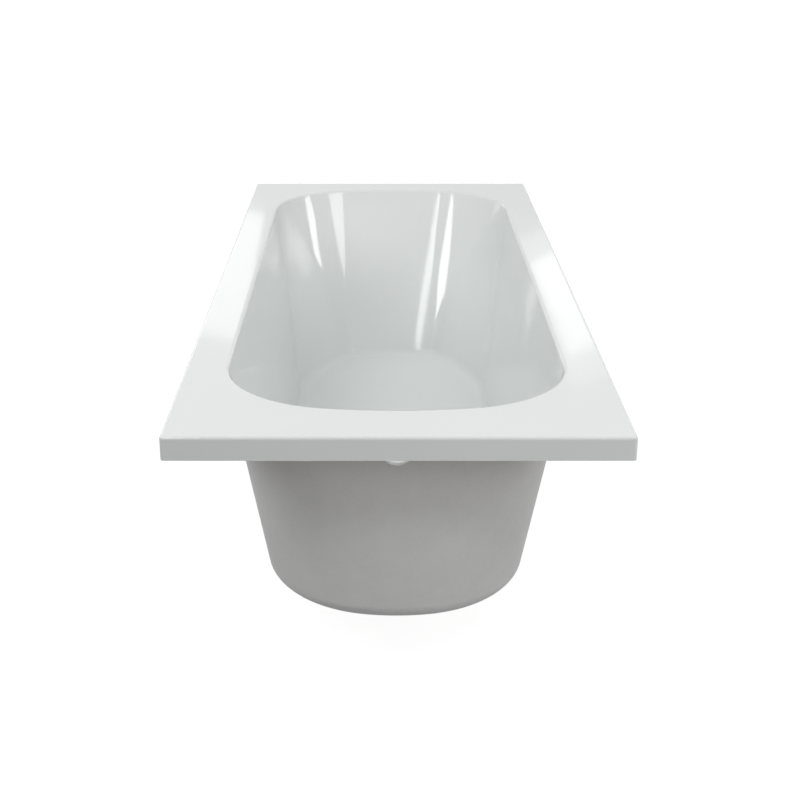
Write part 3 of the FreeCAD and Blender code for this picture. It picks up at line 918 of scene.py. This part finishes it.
class Shader:
    """One material's node tree."""

    def __init__(self, name):
        self.material = bpy.data.materials.new(name)
        self.material.use_nodes = True
        self.tree = self.material.node_tree
        self.tree.nodes.clear()
        self.place = self.node("ShaderNodeTexCoord")["Object"]

    def node(self, kind, settings=None, inputs=None):
        """Adds a node: its settings first, then the values or links of its inputs."""
        node = self.tree.nodes.new(kind)
        for key, value in (settings or {}).items():
            if key == "ramp":
                set_ramp(node.color_ramp, value)
            else:
                setattr(node, key, value)
        for key, value in (inputs or {}).items():
            socket = node.inputs[key]
            if isinstance(value, Value):
                self.tree.links.new(value.socket, socket)
            else:
                socket.default_value = value
        return Outputs(self, node)

    def maths(self, operation, first, second):
        return self.node("ShaderNodeMath", {"operation": operation}, {0: first, 1: second})["Value"]

    def vectors(self, operation, *operands):
        """Vector arithmetic: a length comes out as a value, anything else as a vector."""
        output = "Value" if operation == "LENGTH" else "Vector"
        return self.node("ShaderNodeVectorMath", {"operation": operation}, dict(enumerate(operands)))[output]

    def seen(self):
        """1 where a surface is seen straight, mirrored or through glass, and 0 where it only lights."""
        path = self.node("ShaderNodeLightPath")
        mirrored = self.maths("MAXIMUM", path["Is Glossy Ray"], path["Is Transmission Ray"])
        return self.maths("MAXIMUM", path["Is Camera Ray"], mirrored)

    def stretched(self, scale, turn=(0.0, 0.0, 0.0)):
        """Object coordinates, turned and stretched by a mapping."""
        inputs = {"Vector": self.place, "Scale": scale, "Rotation": turn}
        return self.node("ShaderNodeMapping", {}, inputs)["Vector"]

    def noise(self, scale, detail=2.0, vector=None, roughness=0.5):
        inputs = {"Scale": scale, "Detail": detail, "Roughness": roughness, "Vector": vector or self.place}
        return self.node("ShaderNodeTexNoise", {}, inputs)["Fac"]

    def ramp(self, value, *stops):
        return self.node("ShaderNodeValToRGB", {"ramp": stops}, {"Fac": value})["Color"]

    def mix(self, share, first, second, blend="MIX"):
        node = self.tree.nodes.new("ShaderNodeMix")
        node.data_type = "RGBA"
        node.blend_type = blend
        for index, value in ((0, share), (6, first), (7, second)):
            if isinstance(value, Value):
                self.tree.links.new(value.socket, node.inputs[index])
            elif index and len(value) == 3:
                node.inputs[index].default_value = (*value, 1.0)
            else:
                node.inputs[index].default_value = value
        return Value(self, node.outputs[2])

    def bump(self, height, strength, distance, under=None):
        inputs = {"Height": height, "Strength": strength, "Distance": distance}
        if under is not None:
            inputs["Normal"] = under
        return self.node("ShaderNodeBump", {}, inputs)["Normal"]

    def surface(self, **inputs):
        """The closing surface shader; underscores in names stand for spaces."""
        named = {key.replace("_", " "): value for key, value in inputs.items()}
        shader = self.node("ShaderNodeBsdfPrincipled", {}, named)["BSDF"]
        self.node("ShaderNodeOutputMaterial", {}, {"Surface": shader})
        return self.material


def set_ramp(ramp, stops):
    while len(ramp.elements) < len(stops):
        ramp.elements.new(1.0)
    for element, (position, colour) in zip(ramp.elements, stops):
        element.position = position
        element.color = (*colour, 1.0)


def scaled(colour, factor):
    return tuple(min(1.0, c * factor) for c in colour)


# ---- finishes ----


def white_acrylic(finish):
    """Glossy cast sheet: a faint change of tone, and the slight slackness of a formed surface."""
    shader = Shader("white_acrylic")
    base = tuple(finish.acrylic)
    colour = shader.mix(shader.noise(3.0, 2.0), scaled(base, 0.985), scaled(base, 1.012))
    haze = shader.noise(9.0, 3.0)
    normal = shader.bump(shader.noise(14.0, 1.0), 0.3, 0.2 * MM)
    return shader.surface(Base_Color=colour, Roughness=haze * 0.03 + 0.055, IOR=1.49, Normal=normal)


def glass_fibre(finish):
    """Sprayed resin with short glass strands lying every way under it."""
    shader = Shader("grey_laminate")
    base = tuple(finish.laminate)
    strands = None
    for turn in (0.2, 1.3, 2.4):
        lines = shader.noise(1.0, 2.0, shader.stretched((420.0, 60.0, 420.0), (0.3, turn, turn)))
        strands = lines if strands is None else shader.maths("MAXIMUM", strands, lines)
    mottle = shader.noise(30.0, 4.0)
    colour = shader.mix(mottle, scaled(base, 0.94), scaled(base, 1.05))
    colour = shader.mix((strands * 2.2 - 1.1).clipped(), colour, scaled(base, 1.09))
    normal = shader.bump(strands, 0.25, 0.35 * MM, shader.bump(shader.noise(55.0, 3.0), 0.3, 0.8 * MM))
    return shader.surface(Base_Color=colour, Roughness=mottle * 0.12 + 0.55, Normal=normal)


def softwood(finish, name, along, heart):
    """Sawn softwood: growth rings round a heart line that runs along one axis, fibres and saw marks."""
    shader = Shader(name)
    base = tuple(finish.timber)
    rings_per_metre, wandering_rings = 170.0, 7.0

    def by_axis(lengthways, crossways):
        return tuple(lengthways if axis == along else crossways for axis in "XYZ")

    wander = shader.noise(1.0, 2.0, shader.stretched(by_axis(1.2, 9.0)))
    centred = shader.vectors("SUBTRACT", shader.place, heart)
    reach = shader.vectors("LENGTH", shader.vectors("MULTIPLY", centred, by_axis(0.0, 1.0)))
    rings = shader.maths("FRACT", reach * rings_per_metre + wander * wandering_rings, 0.0)
    fibres = shader.noise(1.0, 4.0, shader.stretched(by_axis(14.0, 1100.0)))
    drift = shader.noise(1.0, 3.0, shader.stretched(by_axis(2.5, 30.0)))
    late = scaled(base, 0.78)
    wood = shader.ramp(rings, (0.0, scaled(base, 1.12)), (0.55, base), (0.88, late), (0.96, late),
                       (1.0, scaled(base, 1.08)))
    wood = shader.mix((fibres * 1.6 - 0.45).clipped() * 0.35, wood, scaled(base, 0.78))
    wood = shader.mix(drift * 0.35, wood, scaled(base, 1.22))
    bands = shader.noise(1.0, 1.0, shader.stretched(by_axis(420.0, 6.0)))
    normal = shader.bump(fibres, 0.5, 0.25 * MM, shader.bump(bands, 0.3, 0.2 * MM))
    return shader.surface(Base_Color=wood, Roughness=fibres * 0.15 + 0.62, Normal=normal)


def chipboard(finish):
    """Pressed chips of many sizes and tones, finer at the two faces than in the core."""
    shader = Shader("chipboard")
    base = tuple(finish.chipboard)

    def chips(scale, turn):
        """Cells of one size: a colour of its own for each chip, split into three values."""
        inputs = {"Vector": shader.stretched(scale, (0.0, 0.0, turn)), "Randomness": 1.0}
        cells = shader.node("ShaderNodeTexVoronoi", {"feature": "F1"}, inputs)
        return shader.node("ShaderNodeSeparateColor", {}, {"Color": cells["Color"]})

    tone = chips((150.0, 240.0, 900.0), 0.5)
    grit = chips((520.0, 400.0, 1500.0), -0.7)
    wood = shader.ramp(tone["Red"], (0.0, scaled(base, 0.66)), (0.25, scaled(base, 0.95)),
                       (0.7, scaled(base, 1.1)), (1.0, scaled(base, 1.3)))
    dust = shader.ramp(grit["Green"], (0.0, scaled(base, 0.5)), (0.2, scaled(base, 0.92)),
                       (1.0, scaled(base, 1.22)))
    wood = shader.mix(0.5, wood, dust)
    wood = shader.mix(shader.noise(8.0, 2.0) * 0.3, wood, scaled(base, 0.85))
    height = tone["Green"] * 0.6 + grit["Red"] * 0.4
    normal = shader.bump(height, 0.35, 0.3 * MM)
    return shader.surface(Base_Color=wood, Roughness=grit["Blue"] * 0.12 + 0.66, Normal=normal)


def zinc_steel(finish):
    """Pressed steel under a thin zinc coat: soft rolling marks, dull patches and a faint warm bloom."""
    shader = Shader("zinc_steel")
    base = tuple(finish.zinc)
    rolling = shader.noise(1.0, 3.0, shader.stretched((18.0, 900.0, 900.0)))
    patches = shader.noise(26.0, 4.0)
    bloom = shader.noise(7.0, 2.0)
    colour = shader.mix(patches, scaled(base, 0.86), scaled(base, 1.08))
    colour = shader.mix((bloom * 2.0 - 0.8).clipped() * 0.25, colour, (0.66, 0.62, 0.50))
    normal = shader.bump(rolling, 0.15, 0.1 * MM, shader.bump(shader.noise(160.0, 2.0), 0.1, 0.15 * MM))
    rough = patches * 0.22 + rolling * 0.1 + 0.2
    return shader.surface(Base_Color=colour, Metallic=1.0, Roughness=rough, Normal=normal)


def bright_steel(finish):
    """Bright-plated fasteners: turned marks, and patches that vary in tone and roughness."""
    shader = Shader("bright_steel")
    base = scaled(tuple(finish.zinc), 1.12)
    marks = shader.noise(1.0, 2.0, shader.stretched((250.0, 250.0, 2600.0)))
    patches = shader.noise(120.0, 3.0)
    colour = shader.mix(patches, scaled(base, 0.84), scaled(base, 1.06))
    normal = shader.bump(marks, 0.12, 0.05 * MM)
    rough = patches * 0.16 + marks * 0.08 + 0.17
    return shader.surface(Base_Color=colour, Metallic=1.0, Roughness=rough, Normal=normal)


def black_plastic(finish):
    """Moulded plastic with the fine spark grain of its mould and a slight bloom of dust."""
    shader = Shader("black_plastic")
    base = tuple(finish.plastic)
    grain = shader.noise(1400.0, 2.0)
    bloom = shader.noise(40.0, 4.0)
    colour = shader.mix((bloom * 1.8 - 0.5).clipped() * 0.5, base, scaled(base, 1.9))
    normal = shader.bump(grain, 0.35, 0.08 * MM)
    rough = bloom * 0.14 + grain * 0.06 + 0.36
    return shader.surface(Base_Color=colour, Roughness=rough, IOR=1.5, Normal=normal)


# ---- operators ----


class BATHTUB_OT_acrylic_shell(Operator):
    """Model the white acrylic sheet: lip, deck, well and drain holes"""

    bl_idname = "bathtub.acrylic_shell"
    bl_label = "Acrylic shell"

    def execute(self, context):
        scene = context.scene
        shell = build_acrylic_shell(scene.bath_shell)
        finish_piece(shell, white_acrylic(scene.bath_finish), "bath", "white_acrylic", "acrylic_shell")
        return {"FINISHED"}


class BATHTUB_OT_laminate(Operator):
    """Model the glass-fibre backing under the deck and behind the well"""

    bl_idname = "bathtub.laminate"
    bl_label = "Laminate backing"

    def execute(self, context):
        scene = context.scene
        back = build_laminate(scene.bath_shell)
        finish_piece(back, glass_fibre(scene.bath_finish), "bath", "grey_laminate", "glass_fibre_laminate")
        return {"FINISHED"}


class BATHTUB_OT_timber(Operator):
    """Model the baseboard and the four battens under the deck"""

    bl_idname = "bathtub.timber"
    bl_label = "Baseboard and battens"

    def execute(self, context):
        scene = context.scene
        sizes = scene.bath_frame
        low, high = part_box("baseboard")
        board = board_between("base_panel", low, high, sizes.board_ease, sizes.board_corner)
        for place in screw_places("leg_bar_screws", low.z - sizes.steel):
            cut_hole(board, sizes.pilot, Vector((place.x, place.y, low.z)), UP, 4 * (high.z - low.z))
        smooth(board)
        finish_piece(board, chipboard(scene.bath_finish), "bath", "chipboard", "baseboard")
        brackets = screw_places("wall_bracket_screws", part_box("wall_brackets")[1].z - sizes.steel)
        for node, along in (("rim_batten_left", "Y"), ("rim_batten_right", "Y"), ("rim_batten_foot", "X"),
                            ("rim_batten_head", "X")):
            low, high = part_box(node)
            batten = board_between(node + "_timber", low, high, sizes.timber_ease)
            for place in brackets:
                if low.x < place.x < high.x and low.y < place.y < high.y:
                    cut_hole(batten, sizes.pilot, Vector((place.x, place.y, low.z)), UP, 4 * (high.z - low.z))
            smooth(batten)
            # The heart of the log lies outside the batten, beyond and below its right head corner.
            heart = (high.x + 35 * MM, high.y + 30 * MM, low.z - 25 * MM)
            wood = softwood(scene.bath_finish, node + "_wood", along, heart)
            finish_piece(batten, wood, "bath", "timber", node)
        return {"FINISHED"}


class BATHTUB_OT_leg_bars(Operator):
    """Model the two leg bars, their screws and their washers"""

    bl_idname = "bathtub.leg_bars"
    bl_label = "Leg bars"

    def execute(self, context):
        scene = context.scene
        sizes = scene.bath_frame
        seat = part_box("leg_bar_foot")[1].z - sizes.steel
        places = screw_places("leg_bar_screws", seat)
        for node in ("leg_bar_foot", "leg_bar_head"):
            bar = build_leg_bar(sizes, node, places)
            finish_piece(bar, zinc_steel(scene.bath_finish), "bath", "zinc_steel", node)
        screws = place_screws(sizes, "bar_screws", "leg_bar_screws", seat)
        finish_piece(screws, bright_steel(scene.bath_finish), "bath", "bright_steel", "leg_bar_screws")
        hole, outer, thick, edge = sizes.stud_hole, sizes.washer, sizes.washer_thick, 0.3 * MM
        washer = turned_ring("washer", [(hole, edge), (hole + edge, 0.0), (outer - edge, 0.0), (outer, edge),
                                        (outer, thick - edge), (outer - edge, thick), (hole + edge, thick),
                                        (hole, thick - edge)])
        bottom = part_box("leg_bar_foot")[0].z
        heights = (bottom - thick, bottom + sizes.steel)
        centres = [middle("foot_stud_" + foot) for foot in FEET]
        spots = [Vector((centre.x, centre.y, z)) for centre in centres for z in heights]
        washers = join("bar_washers", copies(washer, spots))
        smooth(washers)
        finish_piece(washers, bright_steel(scene.bath_finish), "bath", "bright_steel", "leg_bar_washers")
        return {"FINISHED"}


class BATHTUB_OT_feet(Operator):
    """Model the four screw feet: pads, threaded studs and pairs of nuts"""

    bl_idname = "bathtub.feet"
    bl_label = "Screw feet"

    def execute(self, context):
        scene = context.scene
        sizes = scene.bath_frame
        stud_low, stud_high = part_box("foot_stud_" + FEET[0])
        pad_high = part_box("foot_pad_" + FEET[0])[1].z
        nut_low, nut_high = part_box("adjusting_nuts_" + FEET[0])
        centres = [middle("foot_stud_" + foot) for foot in FEET]
        spots = [Vector((c.x, c.y, 0.0)) for c in centres]
        steel = bright_steel(scene.bath_finish)
        plastic = black_plastic(scene.bath_finish)
        studs = copies(build_stud(sizes, stud_low.z, stud_high.z), spots)
        pads = copies(build_pad(sizes, pad_high), spots)
        nuts = copies(build_nut(sizes), [Vector((c.x, c.y, z)) for c in centres
                                         for z in (nut_low.z, nut_high.z - sizes.nut_height)])
        for index, foot in enumerate(FEET):
            stud, pad = studs[index], pads[index]
            stud.name = stud.data.name = "stud_" + foot
            pad.name = pad.data.name = "pad_" + foot
            pair = join("nuts_on_" + foot, nuts[2 * index:2 * index + 2])
            for piece in (stud, pad, pair):
                smooth(piece, 40)
            finish_piece(stud, steel, "screw_foot_" + foot, "bright_steel", "foot_stud_" + foot)
            finish_piece(pad, plastic, "screw_foot_" + foot, "black_plastic", "foot_pad_" + foot)
            finish_piece(pair, steel, "nuts_" + foot, "bright_steel", "adjusting_nuts_" + foot)
        return {"FINISHED"}


class BATHTUB_OT_wall_brackets(Operator):
    """Model the four wall brackets and their screws"""

    bl_idname = "bathtub.wall_brackets"
    bl_label = "Wall brackets"

    def execute(self, context):
        scene = context.scene
        sizes = scene.bath_frame
        low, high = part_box("wall_brackets")
        places = screw_places("wall_bracket_screws", high.z - sizes.steel)
        along = high.y - sizes.bracket_length / 2
        made = [build_bracket(sizes, side, y, low, high, places) for side in (-1, 1) for y in (-along, along)]
        brackets = join("bracket_set", made)
        smooth(brackets)
        finish_piece(brackets, zinc_steel(scene.bath_finish), "bath", "zinc_steel", "wall_brackets")
        screws = place_screws(sizes, "bracket_screws", "wall_bracket_screws", high.z - sizes.steel)
        finish_piece(screws, bright_steel(scene.bath_finish), "bath", "bright_steel", "wall_bracket_screws")
        return {"FINISHED"}


class BATHTUB_OT_stage(Operator):
    """Set up the floor, the lights and the camera"""

    bl_idname = "bathtub.stage"
    bl_label = "Stage"

    def execute(self, context):
        stage = context.scene.bath_stage
        make_camera(stage)
        make_floor(stage)
        make_world(stage)
        make_lights(stage)
        context.scene.view_settings.view_transform = "Standard"
        return {"FINISHED"}


# ---- stage ----


def make_camera(stage):
    data = bpy.data.cameras.new("photo_camera")
    camera = bpy.data.objects.new("photo_camera", data)
    bpy.context.scene.collection.objects.link(camera)
    camera.location = (stage.camera_side, -stage.camera_back, RIM_TOP + stage.camera_over_rim)
    camera.rotation_euler = (math.pi / 2 - stage.camera_dip, 0.0, 0.0)
    data.lens = stage.lens
    data.sensor_width = 36.0
    data.shift_x = stage.shift
    data.clip_end = 100.0
    bpy.context.scene.camera = camera


def make_floor(stage):
    """A white floor that throws only part of the light back up.

    Near the bath a share of it is lit, which keeps the shadow, and further out it fades to plain white.
    """
    deselect_all()
    bpy.ops.mesh.primitive_plane_add(size=60.0, location=(0.0, 0.0, -stage.floor_drop))
    floor = bpy.context.active_object
    floor.name = "studio_floor"
    shader = Shader("studio_floor")
    seen = shader.seen()
    tone = shader.mix(seen, (stage.floor_bounce,) * 3, WHITE)
    lit = shader.node("ShaderNodeBsdfDiffuse", {}, {"Color": tone})["BSDF"]
    glow = shader.node("ShaderNodeEmission", {}, {"Color": WHITE, "Strength": stage.floor_glow})
    near_share, fade_start, fade_length = 0.8, 1.4, 1.6
    faded = ((shader.vectors("LENGTH", shader.place) - fade_start) / fade_length).clipped()
    glowing = near_share + faded * (1.0 - near_share)
    both = shader.node("ShaderNodeMixShader", {}, {0: seen * glowing, 1: lit, 2: glow["Emission"]})["Shader"]
    shader.node("ShaderNodeOutputMaterial", {}, {"Surface": both})
    floor.data.materials.append(shader.material)


def make_world(stage):
    """White where it is seen or mirrored, and an even soft light elsewhere."""
    world = bpy.data.worlds.new("studio")
    bpy.context.scene.world = world
    world.use_nodes = True
    # The world has no object coordinates, so its shader is set up without a material.
    shader = Shader.__new__(Shader)
    shader.tree = world.node_tree
    shader.tree.nodes.clear()
    strength = shader.seen() * (1.0 - stage.daylight) + stage.daylight
    light = shader.node("ShaderNodeBackground", {}, {"Color": WHITE, "Strength": strength})
    shader.node("ShaderNodeOutputWorld", {}, {"Surface": light["Background"]})


def area_light(name, target, azimuth, elevation, distance, size, level, spin=0.0, mirrored=True):
    """A soft light seen from its target at an azimuth (from -Y towards +X) and an elevation, in degrees."""
    turn, rise = math.radians(azimuth), math.radians(elevation)
    away = Vector((math.sin(turn) * math.cos(rise), -math.cos(turn) * math.cos(rise), math.sin(rise)))
    data = bpy.data.lights.new(name, "AREA")
    data.size = size[0]
    if len(size) == 2:
        data.shape = "RECTANGLE"
        data.size_y = size[1]
        area = size[0] * size[1]
    else:
        data.shape = "DISK"
        area = math.pi * size[0] ** 2 / 4
    data.energy = level * math.pi * area
    light = bpy.data.objects.new(name, data)
    bpy.context.scene.collection.objects.link(light)
    light.location = Vector(target) + away * distance
    facing = away.to_track_quat("Z", "Y")
    light.rotation_mode = "QUATERNION"
    light.rotation_quaternion = facing @ Matrix.Rotation(math.radians(spin), 3, "Z").to_quaternion()
    light.visible_camera = False
    light.visible_glossy = mirrored
    return light


def make_lights(stage):
    """A soft key and fills that the gloss doesn't show, and the softboxes that it does."""
    lip, centre = (0.0, -0.8, 0.4), (0.0, 0.0, 0.3)
    wide = (1.2, 1.2)
    area_light("key", lip, 20, 51.7, 3.0, (0.5, 0.5), stage.key, mirrored=False)
    area_light("rear_left", centre, -135, 50, 3.0, (0.9, 0.9), stage.rear_left, mirrored=False)
    area_light("overhead", centre, 180, 65, 3.0, wide, stage.overhead, mirrored=False)
    area_light("front", centre, 0, 20, 3.0, wide, stage.front, mirrored=False)
    area_light("front_right", centre, 45, 20, 3.0, wide, stage.front_right, mirrored=False)
    backrest = (0.0, 0.68, 0.35)
    area_light("round_box", backrest, 31.2, 40.1, 2.7, (0.868,), stage.round_box)
    area_light("strip", backrest, -15.1, 32.5, 2.7, (0.121, 0.774), stage.strip, 21.1)
    area_light("square_box", backrest, -46.6, 28.1, 2.7, (1.039, 0.496), stage.square_box, 39.8)
    area_light("right_edge", backrest, 86.4, 24.0, 2.7, (0.279, 1.05), stage.edge, 45.8)
    deck = (0.0, 0.0, RIM_TOP)
    area_light("back_left", deck, -150.5, 10.35, 3.5, (2.5, 0.61), stage.back_left, -19.4)
    area_light("back_soft", deck, 165.3, 17.57, 3.7, (0.75, 0.36), stage.back_soft, -62.0)
    area_light("back_right", deck, 165.3, 17.57, 3.5, (0.458, 0.222), stage.back_right, -62.0)


# ---- add-on ----


PIECE_OPERATORS = (BATHTUB_OT_acrylic_shell, BATHTUB_OT_laminate, BATHTUB_OT_timber, BATHTUB_OT_leg_bars,
                   BATHTUB_OT_feet, BATHTUB_OT_wall_brackets, BATHTUB_OT_stage)


class BATHTUB_PT_pieces(Panel):
    """Lists a button for each piece and for the stage"""

    bl_idname = "BATHTUB_PT_pieces"
    bl_label = "Bathtub"
    bl_space_type = "VIEW_3D"
    bl_region_type = "UI"
    bl_category = "Bathtub"

    def draw(self, context):
        for operator in PIECE_OPERATORS:
            self.layout.operator(operator.bl_idname)


CLASSES = (BathShellSettings, BathFrameSettings, BathFinishSettings, BathStageSettings, *PIECE_OPERATORS,
           BATHTUB_PT_pieces)


def register():
    for kind in CLASSES:
        bpy.utils.register_class(kind)
    bpy.types.Scene.bath_shell = PointerProperty(type=BathShellSettings)
    bpy.types.Scene.bath_frame = PointerProperty(type=BathFrameSettings)
    bpy.types.Scene.bath_finish = PointerProperty(type=BathFinishSettings)
    bpy.types.Scene.bath_stage = PointerProperty(type=BathStageSettings)


def unregister():
    del bpy.types.Scene.bath_stage
    del bpy.types.Scene.bath_finish
    del bpy.types.Scene.bath_frame
    del bpy.types.Scene.bath_shell
    for kind in reversed(CLASSES):
        bpy.utils.unregister_class(kind)


def main():
    register()
    bpy.ops.bathtub.acrylic_shell()
    bpy.ops.bathtub.laminate()
    bpy.ops.bathtub.timber()
    bpy.ops.bathtub.leg_bars()
    bpy.ops.bathtub.feet()
    bpy.ops.bathtub.wall_brackets()
    bpy.ops.bathtub.stage()


if __name__ == "__main__":
    main()
